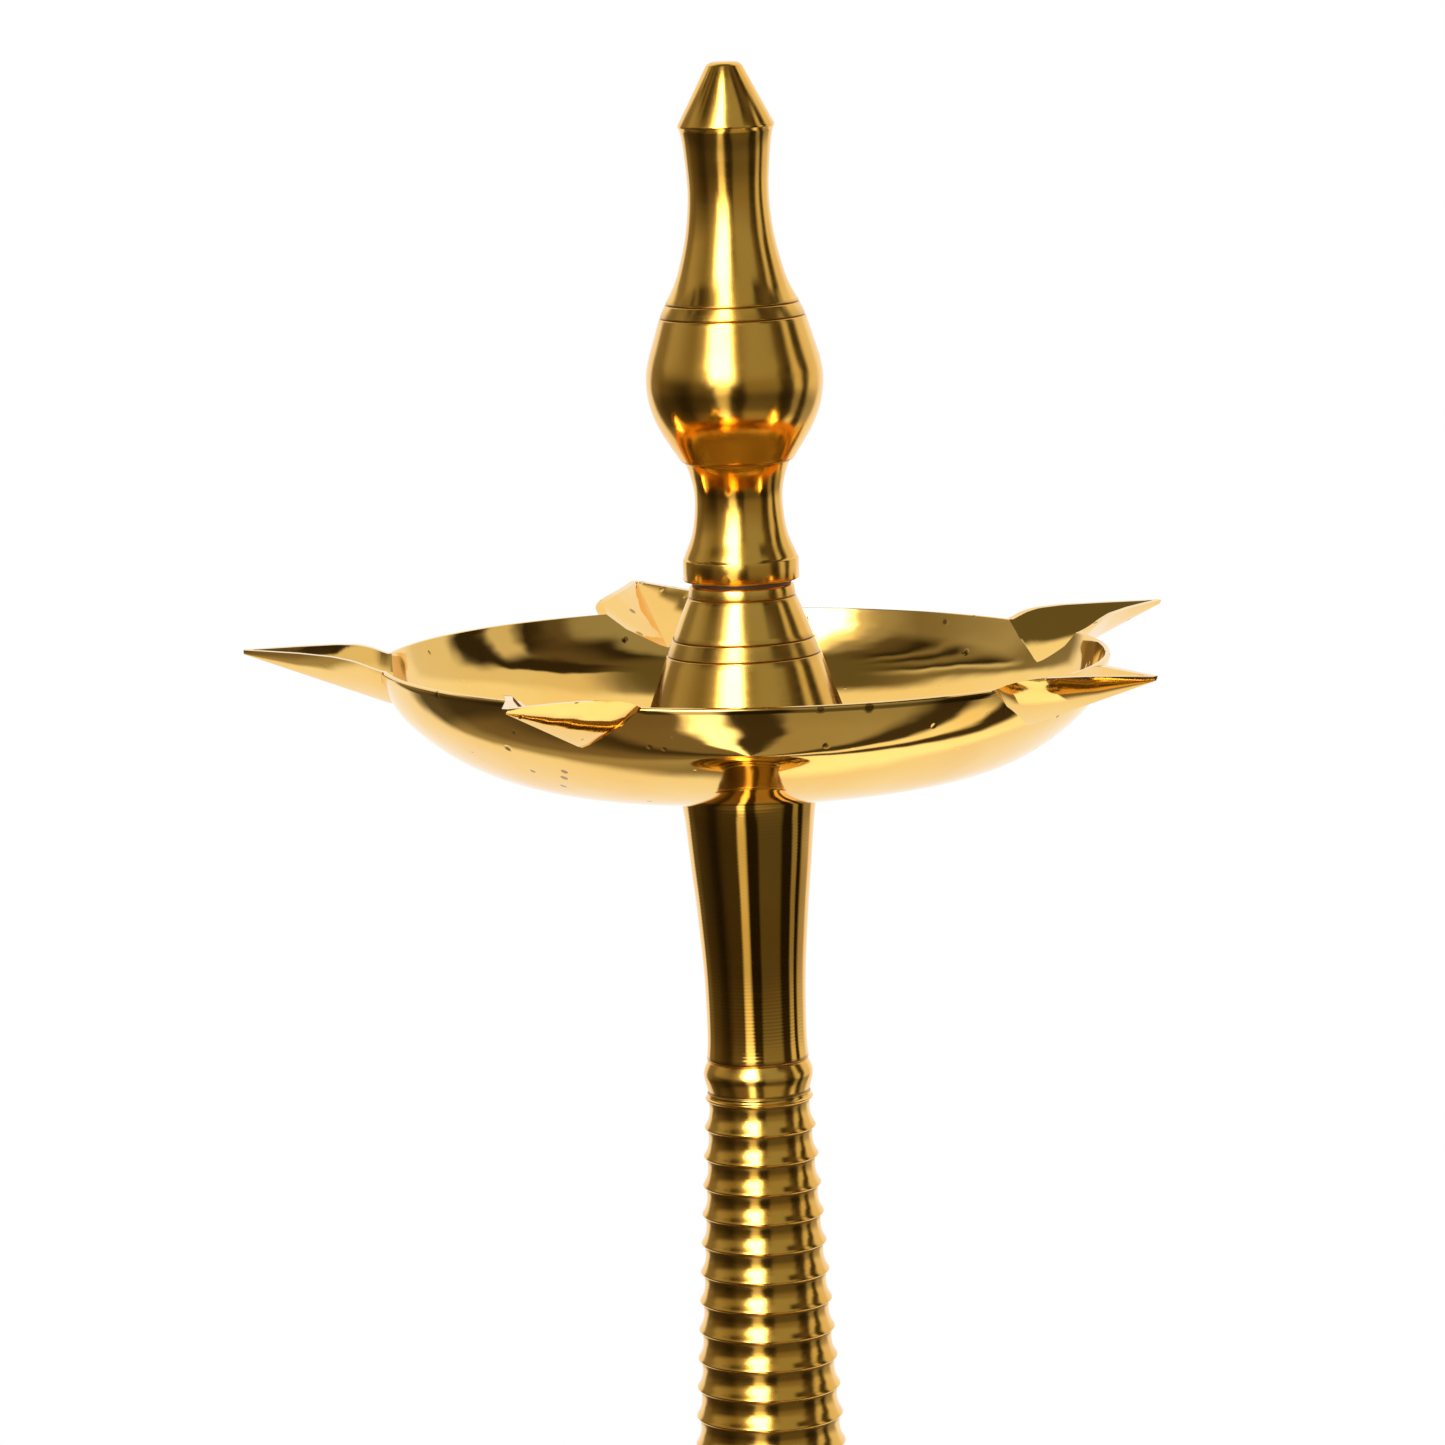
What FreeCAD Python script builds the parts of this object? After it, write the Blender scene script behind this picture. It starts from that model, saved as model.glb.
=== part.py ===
import FreeCAD, Part
import math
import os

# Brass standing oil lamp in turned and cast sections that screw together on plain studs.
# Millimetres, z up, origin on the axis at the underside of the foot.

# Lengths of the sections, from the foot up
BASE_HEIGHT = 158.0
KNOP_LENGTH = 142.0
RIBBED_LENGTH = 253.0
UPPER_LENGTH = 100.0
PAN_DEPTH = 46.5
CONE_RISE = 26.0
NECK_LENGTH = 40.7
BOTTLE_LENGTH = 145.0

# Soft rings between the sections
WASHER = 1.5
GASKET = 0.8
COLLAR_WASHER = 1.7

# Oil pan: its curve is given as shares of its depth and of the way in from the rim to its seat
RIM_RADIUS = 131.8
RIM_WALL = 2.2
PAN_SEAT_RADIUS = 50.0
PAN_FLOOR = 3.2
PAN_CURVE = ((0.0, 0.0), (0.151, 0.022), (0.338, 0.076), (0.512, 0.171), (0.68, 0.2995), (0.8215, 0.466),
             (0.9075, 0.6455), (0.959, 0.829))
SPOUT_ANGLES = (180.0, 103.0, 30.0, -38.5, -117.0)
SPOUT_LENGTH = 51.3
SPOUT_HALF_WIDTH = 28.5
SPOUT_DEPTH = 13.5
SPOUT_RISE = 5.5
SPOUT_WALL = 2.2

# Cone in the middle of the pan
CONE_NECK_RADIUS = 18.8
CONE_FOOT_RADIUS = 43.0
CONE_LINE_DROP = 4.6
CONE_BOSS_DROP = 13.0
CONE_WALL = 4.0

# Finial
CAP_RADIUS = 17.3
CAP_HEIGHT = 22.5
TIP_RADIUS = 6.6
SWAN_RADIUS = 14.5
BULB_RADIUS = 31.8
BULB_RISE = 31.4
BULB_WALL = 6.0
SPOOL_RADIUS = 15.7
SPOOL_TOP_RADIUS = 18.2
COLLAR_RADIUS = 20.85
COLLAR_HEIGHT = 8.15

# Stems: the upper one's curve is given as shares of its length and of its flare
STEM_TOP_RADIUS = 25.4
STEM_WAIST_RADIUS = 18.0
STEM_FOOT_RADIUS = 18.5
STEM_CURVE = ((0.11, 0.0), (0.327, 0.068), (0.475, 0.216), (0.695, 0.486), (0.842, 0.669), (0.94, 0.838))
BEAD_RADIUS = 19.8
BEAD_HEIGHT = 11.2
RIB_FIRST_DROP = 14.0
RIB_PITCH = 10.75
RIB_FIRST_RADIUS = 19.6
RIB_GROWTH = 0.65
RIB_STEP = 0.95
KNOP_RADIUS = 44.0
KNOP_NECK_RADIUS = 29.5
KNOP_WAIST_RADIUS = 27.0
KNOP_FOOT_RADIUS = 37.4
KNOP_HALF = 34.0
KNOP_RING = 1.2
STEM_WALL = 5.0

# Foot: its outline is given as shares of the way out from its neck and of its height
FOOT_RADIUS = 125.0
FOOT_RIM = 11.0
BELL_NECK_RADIUS = 36.5
BELL_SEAT_RADIUS = 40.0
BELL_WALL = 5.5
CROWN = 9.0

# Studs, nut and the clearance of every threaded fit
STUD_RADIUS = 8.0
SMALL_STUD_RADIUS = 6.0
STUD_DEPTH = 20.0
SMALL_STUD_DEPTH = 15.0
STUD_TAIL = 14.0
FIT = 0.05
END_GAP = 1.0
NUT_FLATS = 24.0
NUT_HEIGHT = 13.0
NUT_WASHER_RADIUS = 17.0
CUT_RING = 0.6

# Heights of the joints
KNOP_TOP = BASE_HEIGHT + KNOP_LENGTH
RIBBED_TOP = KNOP_TOP + RIBBED_LENGTH
PAN_UNDER = RIBBED_TOP + UPPER_LENGTH + WASHER
RIM_HEIGHT = PAN_UNDER + PAN_DEPTH
HUB_TOP = RIM_HEIGHT + CONE_RISE
COLLAR_LOW = HUB_TOP + COLLAR_WASHER
NECK_TOP = COLLAR_LOW + NECK_LENGTH
TIP_HEIGHT = NECK_TOP + BOTTLE_LENGTH
RIB_COUNT = int((RIBBED_LENGTH - RIB_FIRST_DROP) / RIB_PITCH)
RIB_LAST_RADIUS = RIB_FIRST_RADIUS + RIB_GROWTH * RIB_COUNT

AXIS = FreeCAD.Vector(0, 0, 1)
ORIGIN = FreeCAD.Vector(0, 0, 0)


def point(radius, height):
    """A point of a turned outline, in the plane that is turned about the axis."""
    return FreeCAD.Vector(radius, 0, height)


def outline(start, steps, sag):
    """Corners from start through steps: a point is a line, a pair an arc, a longer tuple a smooth curve.

    Curves become short straight runs that stay within sag of them, so that the pieces stay light.
    """
    corners = [point(*start)]
    for step in steps:
        here = corners[-1]
        if isinstance(step[0], (int, float)):
            corners.append(point(*step))
        elif len(step) == 2:
            arc = Part.Arc(here, point(*step[0]), point(*step[1])).toShape()
            corners.extend(arc.discretize(Deflection=sag)[1:])
        else:
            curve = Part.BSplineCurve()
            curve.interpolate([here] + [point(*place) for place in step])
            corners.extend(curve.toShape().discretize(Deflection=sag)[1:])
    return corners


def turned(start, steps, sag=0.2):
    """The solid turned from a closed outline."""
    corners = outline(start, steps, sag)
    face = Part.Face(Part.makePolygon(corners + corners[:1]))
    return face.revolve(ORIGIN, AXIS, 360)


def rod(radius, low, high):
    return Part.makeCylinder(radius, high - low, point(0, low), AXIS)


def ring(inner, outer, low, high):
    return rod(outer, low, high).cut(rod(inner, low - 1, high + 1))


def stud(radius, joint, below, above):
    """A threaded stud as a plain rod across a joint."""
    return rod(radius, joint - below, joint + above)


def cut_ring(radius, height, slope):
    """The corners of a fine cut ring in a flank that goes from this radius and height down the slope."""
    half = 0.5 * CUT_RING
    return [(radius - half * slope, height + half), (radius - 0.8 * CUT_RING, height),
            (radius + half * slope, height - half)]


def finial_bottle():
    """The capped bottle; swan is the length of its long neck, from the bulb's middle to the cap."""
    low = NECK_TOP
    cap_low = TIP_HEIGHT - CAP_HEIGHT
    bulb = low + BULB_RISE
    swan = cap_low - bulb
    bore = SMALL_STUD_RADIUS + FIT
    thread_end = low + SMALL_STUD_DEPTH + END_GAP
    chamber = BULB_RADIUS - BULB_WALL
    shaft = SWAN_RADIUS - BULB_WALL + 1.0
    steps = [(TIP_RADIUS - 0.7, TIP_HEIGHT - 0.4), (TIP_RADIUS, TIP_HEIGHT - 1.4), (CAP_RADIUS, cap_low),
             (CAP_RADIUS, cap_low - 0.7), (CAP_RADIUS - 0.9, cap_low - 3.0)]
    steps.append(((SWAN_RADIUS + 0.8, bulb + 0.89 * swan), (SWAN_RADIUS, bulb + 0.742 * swan),
                  (SWAN_RADIUS + 1.4, bulb + 0.566 * swan), (SWAN_RADIUS + 5.5, bulb + 0.395 * swan),
                  (BULB_RADIUS - 8.0, bulb + 0.31 * swan)))
    steps.extend(cut_ring(BULB_RADIUS - 7.7, bulb + 0.303 * swan, 0.45))
    steps.extend(cut_ring(BULB_RADIUS - 5.6, bulb + 0.25 * swan, 0.45))
    steps.append(((BULB_RADIUS - 0.9, bulb + 0.088 * swan), (BULB_RADIUS, bulb),
                  (BULB_RADIUS - 2.4, bulb - 0.41 * BULB_RISE), (BULB_RADIUS - 9.8, bulb - 0.825 * BULB_RISE),
                  (SPOOL_TOP_RADIUS + 1.2, low + 1.2)))
    steps.extend([(SPOOL_TOP_RADIUS + 0.5, low), (bore, low), (bore, thread_end), (SPOOL_TOP_RADIUS, thread_end),
                  (SPOOL_TOP_RADIUS, bulb - 8.0), (chamber, bulb - 8.0), (chamber, bulb + 0.1 * swan),
                  (SWAN_RADIUS, bulb + 0.1 * swan), (SWAN_RADIUS, bulb + 0.32 * swan),
                  (shaft, bulb + 0.32 * swan), (shaft, bulb + 0.78 * swan), (0, bulb + 0.78 * swan)])
    return turned((0, TIP_HEIGHT), steps, 0.45)


def finial_neck():
    low = COLLAR_LOW
    top = NECK_TOP
    shoulder = low + COLLAR_HEIGHT
    spool = top - shoulder
    socket = SMALL_STUD_RADIUS + FIT
    return turned((socket, low), [
        (COLLAR_RADIUS - 0.4, low),
        (COLLAR_RADIUS, low + 0.4),
        (COLLAR_RADIUS, shoulder - 0.4),
        ((COLLAR_RADIUS - 0.85, shoulder + 0.043 * spool), (SPOOL_RADIUS + 1.6, shoulder + 0.264 * spool),
         (SPOOL_RADIUS, shoulder + 0.66 * spool), (SPOOL_RADIUS + 1.0, shoulder + 0.866 * spool),
         (SPOOL_TOP_RADIUS - 0.2, shoulder + 0.963 * spool)),
        (SPOOL_TOP_RADIUS, top),
        (socket, top),
    ], 0.35)


def pan_cone():
    """The hollow cone; flare is what its flank gains from the neck to the foot."""
    low = PAN_UNDER + PAN_FLOOR + GASKET
    line = HUB_TOP - CONE_LINE_DROP
    flank = line - low
    flare = CONE_FOOT_RADIUS - CONE_NECK_RADIUS
    bore = STUD_RADIUS + FIT
    socket = SMALL_STUD_RADIUS + FIT
    boss = RIM_HEIGHT - CONE_BOSS_DROP
    boss_top = boss + STUD_DEPTH + END_GAP
    steps = [(CONE_NECK_RADIUS - 0.5, HUB_TOP), (CONE_NECK_RADIUS, HUB_TOP - 0.5),
             (CONE_NECK_RADIUS + 0.5, line + 0.8), (CONE_NECK_RADIUS + 0.1, line + 0.3),
             (CONE_NECK_RADIUS + 0.8, line)]
    steps.extend(cut_ring(CONE_NECK_RADIUS + 0.281 * flare, line - 0.232 * flank, 0.4))
    steps.extend(cut_ring(CONE_NECK_RADIUS + 0.372 * flare, line - 0.321 * flank, 0.38))
    steps.extend([(CONE_NECK_RADIUS + 0.628 * flare, line - 0.592 * flank), (CONE_FOOT_RADIUS, low),
                  (CONE_FOOT_RADIUS - CONE_WALL, low), (CONE_NECK_RADIUS + 1.2, boss), (bore, boss),
                  (bore, boss_top), (socket, boss_top + 1.0)])
    return turned((socket, HUB_TOP), steps)


def bowl(wall, floor, over):
    """The bowl as a full body: its outer form, or with wall and floor the hollow in it."""
    bottom = PAN_UNDER + floor
    places = []
    for sink, inset in PAN_CURVE:
        radius = RIM_RADIUS - inset * (RIM_RADIUS - PAN_SEAT_RADIUS)
        places.append((radius - wall * (1.0 - 0.35 * sink), RIM_HEIGHT - sink * PAN_DEPTH + floor * sink ** 3))
    curve = (*places[1:], (PAN_SEAT_RADIUS, bottom))
    rim = [(places[0][0], RIM_HEIGHT + over)] if over else []
    return turned((0, RIM_HEIGHT + over), [*rim, places[0], curve, (0, bottom)], 0.6)


def spout_section(reach, half_width, edge, keel):
    corners = [FreeCAD.Vector(reach, -half_width, edge), FreeCAD.Vector(reach, 0, keel),
               FreeCAD.Vector(reach, half_width, edge)]
    return Part.makePolygon(corners + corners[:1])


def spout(wall):
    """One spout along +x as a full body, or with wall the trough in it."""
    root = RIM_RADIUS * math.cos(math.asin(SPOUT_HALF_WIDTH / RIM_RADIUS))
    open_top = 6.0 if wall else 0.0
    sections = []
    for along, width, rise in ((-0.30, 1.30, 0.0), (0.0, 1.0, 0.0), (0.30, 0.66, 0.62), (0.64, 0.40, 0.95),
                               (1.0, 0.06, 1.0)):
        if wall and along == 1.0:
            along = 0.93
            width = 0.12
        reach = root + SPOUT_LENGTH * along
        half = SPOUT_HALF_WIDTH * width
        edge = RIM_HEIGHT + SPOUT_RISE * rise
        keel = RIM_HEIGHT - SPOUT_DEPTH * (1.0 - along) + (SPOUT_RISE - 1.6) * max(along, 0.0)
        if along < 0:
            keel = RIM_HEIGHT - SPOUT_DEPTH * (1.0 - 0.5 * along)
        slope = math.atan2(edge - keel, half)
        if wall:
            keel = min(keel + wall / math.cos(slope), edge - 0.3)
            half = half - wall / math.sin(slope) if half > 1.6 * wall / math.sin(slope) else 0.25 * half
            widen = open_top * half / (edge - keel)
            sections.append(spout_section(reach, half + widen, edge + open_top, keel))
        else:
            sections.append(spout_section(reach, half, edge, keel))
    return Part.makeLoft(sections, True, True)


def around(shape, angle):
    copy = shape.copy()
    copy.rotate(ORIGIN, AXIS, angle)
    return copy


def oil_pan():
    spout_body = spout(0.0)
    trough = spout(SPOUT_WALL)
    body = bowl(0.0, 0.0, 0.0).fuse([around(spout_body, angle) for angle in SPOUT_ANGLES])
    body = body.cut(bowl(RIM_WALL, PAN_FLOOR, 12.0))
    for angle in SPOUT_ANGLES:
        body = body.cut(around(trough, angle))
    body = body.cut(rod(STUD_RADIUS + 2.0 * FIT, PAN_UNDER - 1, RIM_HEIGHT))
    return body


def upper_stem():
    low = RIBBED_TOP
    top = low + UPPER_LENGTH
    bore = STUD_RADIUS + FIT
    low_end = low + STUD_DEPTH + END_GAP
    top_end = top - STUD_DEPTH - END_GAP
    cavity = STEM_WAIST_RADIUS - STEM_WALL
    flare = STEM_TOP_RADIUS - STEM_WAIST_RADIUS
    side = [(STEM_WAIST_RADIUS + out * flare, low + up * UPPER_LENGTH) for up, out in STEM_CURVE]
    return turned((bore, low), [
        (STEM_FOOT_RADIUS - 0.5, low),
        (STEM_FOOT_RADIUS, low + 0.8),
        (*side, (STEM_TOP_RADIUS, top - 0.6)),
        (STEM_TOP_RADIUS - 0.6, top),
        (bore, top),
        (bore, top_end),
        (cavity, top_end),
        (cavity, low_end),
        (bore, low_end),
    ], 0.35)


def ribbed_stem():
    """The ribbed stem, bored in two steps from below."""
    low = KNOP_TOP
    top = RIBBED_TOP
    bore = STUD_RADIUS + FIT
    low_end = low + STUD_DEPTH + END_GAP
    top_end = top - STUD_DEPTH - END_GAP
    step = low + 0.45 * RIBBED_LENGTH
    narrow = STEM_WAIST_RADIUS - STEM_WALL
    wide = 0.5 * (RIB_FIRST_RADIUS + RIB_LAST_RADIUS) - STEM_WALL
    side = []
    for index in range(RIB_COUNT):
        lip = top - RIB_FIRST_DROP - RIB_PITCH * index
        radius = RIB_FIRST_RADIUS + RIB_GROWTH * index
        side.append((radius, lip))
        side.append((radius - RIB_STEP, lip - 1.1))
    steps = [(STEM_FOOT_RADIUS - 0.3, top)]
    steps.append(((BEAD_RADIUS, top - 0.45 * BEAD_HEIGHT), (STEM_FOOT_RADIUS - 0.1, top - BEAD_HEIGHT)))
    steps.append((RIB_FIRST_RADIUS - 0.7, top - BEAD_HEIGHT - 1.0))
    steps.extend(side)
    steps.extend([(RIB_LAST_RADIUS, low + 0.6), (RIB_LAST_RADIUS - 0.6, low), (bore, low), (bore, low_end),
                  (wide, low_end), (wide, step), (narrow, step), (narrow, top_end), (bore, top_end)])
    return turned((bore, top), steps)


def knop_ring(radius, low, height):
    """The corners and arc of a raised ring between two places on the lower stem, from its lower edge up."""
    return [(radius, low), ((radius + KNOP_RING, low + 0.5 * height), (radius, low + height))]


def lower_stem():
    """The lower stem; each neck runs from a raised ring to a foot, and the knop is round between them."""
    low = BASE_HEIGHT
    top = KNOP_TOP
    bore = STUD_RADIUS + FIT
    low_end = low + STUD_DEPTH + END_GAP
    top_end = top - STUD_DEPTH - END_GAP
    knop = low + 0.535 * KNOP_LENGTH
    seat = RIB_LAST_RADIUS + 0.3
    ring_radius = KNOP_NECK_RADIUS + 3.5
    low_neck = low + 7.8
    low_ring = knop - KNOP_HALF - 5.4
    low_run = low_ring - 0.6 - low_neck
    high_neck = knop + KNOP_HALF + 6.0
    high_run = top - 8.0 - high_neck
    tube = KNOP_WAIST_RADIUS - STEM_WALL - 2.0
    chamber = KNOP_RADIUS - 12.0
    steps = knop_ring(KNOP_FOOT_RADIUS, low, 7.0)
    steps.append((KNOP_FOOT_RADIUS - 3.4, low_neck))
    steps.append(((KNOP_WAIST_RADIUS + 1.0, low_neck + 0.22 * low_run),
                  (KNOP_WAIST_RADIUS, low_neck + 0.575 * low_run), (KNOP_NECK_RADIUS + 0.5, low_ring - 0.6)))
    steps.extend(knop_ring(ring_radius, low_ring, 4.8))
    steps.append((KNOP_NECK_RADIUS, knop - KNOP_HALF))
    steps.append(((KNOP_RADIUS, knop), (KNOP_NECK_RADIUS, knop + KNOP_HALF)))
    steps.extend(knop_ring(ring_radius, knop + KNOP_HALF + 0.6, 4.8))
    steps.append((KNOP_NECK_RADIUS, high_neck))
    steps.append(((KNOP_NECK_RADIUS - 0.9, high_neck + 0.33 * high_run),
                  (KNOP_NECK_RADIUS + 0.5, high_neck + 0.67 * high_run), (seat - 0.4, top - 8.0)))
    steps.extend(knop_ring(seat + 0.7, top - 7.2, 6.7))
    steps.extend([(seat, top), (bore, top), (bore, top_end), (tube, top_end), (tube, knop + 16.0),
                  (chamber, knop + 16.0), (chamber, knop - 16.0), (tube, knop - 16.0), (tube, low_end),
                  (bore, low_end)])
    return turned((bore, low), steps, 0.5)


def bell(out, up):
    """A place on the foot, as shares of the way out from its neck to its rim and of its height."""
    return (BELL_NECK_RADIUS + out * (FOOT_RADIUS - BELL_NECK_RADIUS), up * BASE_HEIGHT)


def base_bell():
    top = BASE_HEIGHT
    bore = STUD_RADIUS + 2.0 * FIT
    inner_neck = BELL_NECK_RADIUS - BELL_WALL
    return turned((bore, top), [
        (BELL_SEAT_RADIUS, top),
        ((BELL_SEAT_RADIUS + 1.6, top - 3.5), (BELL_SEAT_RADIUS, top - 7.0)),
        (BELL_NECK_RADIUS, top - 8.0),
        (bell(0.011, 0.848), bell(0.13, 0.696), bell(0.311, 0.582)),
        bell(0.345, 0.579),
        (bell(0.379, 0.557), bell(0.35, 0.532)),
        bell(0.39, 0.525),
        (bell(0.559, 0.481), bell(0.695, 0.392), bell(0.751, 0.266)),
        bell(0.797, 0.262),
        (bell(0.819, 0.244), bell(0.802, 0.224)),
        (bell(0.864, 0.19), bell(0.944, 0.127), bell(0.966, 0.082)),
        (FOOT_RADIUS - 1.0, FOOT_RIM + 1.4),
        (FOOT_RADIUS, FOOT_RIM),
        (FOOT_RADIUS, 1.0),
        (FOOT_RADIUS - 1.0, 0),
        (FOOT_RADIUS - FOOT_RIM, 0),
        (FOOT_RADIUS - FOOT_RIM, FOOT_RIM + 3.0),
        bell(0.729, 0.209),
        bell(0.644, 0.354),
        bell(0.514, 0.443),
        bell(0.311, 0.494),
        bell(0.062, 0.658),
        (inner_neck, 0.823 * top),
        (inner_neck, top - CROWN),
        (bore, top - CROWN),
    ], 0.7)


def nut():
    top = BASE_HEIGHT - CROWN - WASHER
    corner = 0.5 * NUT_FLATS / math.cos(math.radians(30))
    corners = []
    for index in range(7):
        angle = math.radians(60 * index)
        corners.append(FreeCAD.Vector(corner * math.cos(angle), corner * math.sin(angle), top - NUT_HEIGHT))
    body = Part.Face(Part.makePolygon(corners)).extrude(FreeCAD.Vector(0, 0, NUT_HEIGHT))
    lead = turned((0, top), [(0.5 * NUT_FLATS - 0.2, top), (corner, top - 1.4),
                             (corner, top - NUT_HEIGHT + 1.4), (0.5 * NUT_FLATS - 0.2, top - NUT_HEIGHT),
                             (0, top - NUT_HEIGHT)])
    return body.common(lead).cut(rod(STUD_RADIUS + FIT, top - NUT_HEIGHT - 1, top + 1))


PIECES = {
    "finial_bottle": finial_bottle(),
    "bottle_stud": stud(SMALL_STUD_RADIUS, NECK_TOP, SMALL_STUD_DEPTH, SMALL_STUD_DEPTH),
    "finial_neck": finial_neck(),
    "finial_stud": stud(SMALL_STUD_RADIUS, COLLAR_LOW, SMALL_STUD_DEPTH, SMALL_STUD_DEPTH),
    "finial_washer": ring(SMALL_STUD_RADIUS + FIT, CONE_NECK_RADIUS - 1.0, HUB_TOP, COLLAR_LOW),
    "pan_cone": pan_cone(),
    "cone_gasket": ring(CONE_FOOT_RADIUS - CONE_WALL, CONE_FOOT_RADIUS - 0.3, PAN_UNDER + PAN_FLOOR,
                        PAN_UNDER + PAN_FLOOR + GASKET),
    "oil_pan": oil_pan(),
    "pan_stud": stud(STUD_RADIUS, PAN_UNDER, STUD_DEPTH, PAN_DEPTH - CONE_BOSS_DROP + STUD_DEPTH),
    "pan_washer": ring(STUD_RADIUS + 2.0 * FIT, STEM_TOP_RADIUS - 1.2, PAN_UNDER - WASHER, PAN_UNDER),
    "upper_stem": upper_stem(),
    "upper_stud": stud(STUD_RADIUS, RIBBED_TOP, STUD_DEPTH, STUD_DEPTH),
    "ribbed_stem": ribbed_stem(),
    "ribbed_stud": stud(STUD_RADIUS, KNOP_TOP, STUD_DEPTH, STUD_DEPTH),
    "lower_stem": lower_stem(),
    "base_stud": stud(STUD_RADIUS, BASE_HEIGHT, CROWN + WASHER + NUT_HEIGHT + STUD_TAIL, STUD_DEPTH),
    "base_bell": base_bell(),
    "base_washer": ring(STUD_RADIUS + 2.0 * FIT, NUT_WASHER_RADIUS, BASE_HEIGHT - CROWN - WASHER,
                        BASE_HEIGHT - CROWN),
    "base_nut": nut(),
}

os.makedirs("parts", exist_ok=True)
for name, shape in PIECES.items():
    shape.exportStep("parts/" + name + ".step")
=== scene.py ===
import logging
import math
from dataclasses import dataclass, field
from enum import Enum

import bpy
import numpy as np
from mathutils import Matrix, Vector


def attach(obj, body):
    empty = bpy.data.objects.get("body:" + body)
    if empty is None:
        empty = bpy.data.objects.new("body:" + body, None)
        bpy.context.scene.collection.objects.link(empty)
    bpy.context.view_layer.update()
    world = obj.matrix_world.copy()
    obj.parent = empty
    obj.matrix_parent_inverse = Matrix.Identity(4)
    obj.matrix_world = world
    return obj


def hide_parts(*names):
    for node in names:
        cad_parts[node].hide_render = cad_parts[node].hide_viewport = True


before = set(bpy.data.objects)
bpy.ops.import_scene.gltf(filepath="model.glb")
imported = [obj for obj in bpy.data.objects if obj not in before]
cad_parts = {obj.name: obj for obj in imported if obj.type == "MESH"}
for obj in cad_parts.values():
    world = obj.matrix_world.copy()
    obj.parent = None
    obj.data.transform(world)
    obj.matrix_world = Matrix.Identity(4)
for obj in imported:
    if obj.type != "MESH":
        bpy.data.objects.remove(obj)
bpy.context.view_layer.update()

LOG = logging.getLogger("oil_lamp")
MM = 0.001
SIDES = 144
WIDE_SIDES = 192

Place = tuple[float, float]
Point = tuple[float, float, float]
Colour = tuple[float, float, float]
Stops = tuple[tuple[float, Colour], ...]
Socket = bpy.types.NodeSocket
Piece = bpy.types.Object

# Light that the room sends towards the lamp, where 1 is white
DARK = (0.032, 0.024, 0.014)
DIM = (0.115, 0.092, 0.060)
MEDIUM = (0.225, 0.200, 0.140)
GOLD = (0.380, 0.360, 0.310)
OLIVE = (0.330, 0.335, 0.290)
AMBER = (0.680, 0.650, 0.580)
PALE = (0.820, 0.790, 0.730)
LINE = (1.600, 1.540, 1.400)
KEY = (8.200, 8.300, 9.000)


class Finish(Enum):
    """The finishes that the lamp's pieces are given."""

    TURNED = "turned_brass"
    TOOLED = "tooled_brass"
    CAST = "cast_brass"
    ROD = "stud_brass"
    STEEL = "steel"
    LEATHER = "leather"

    @property
    def slot(self) -> str:
        """The record's name for the material; tool marks don't make it another one."""
        return Finish.TURNED.value if self is Finish.TOOLED else self.value


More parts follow.
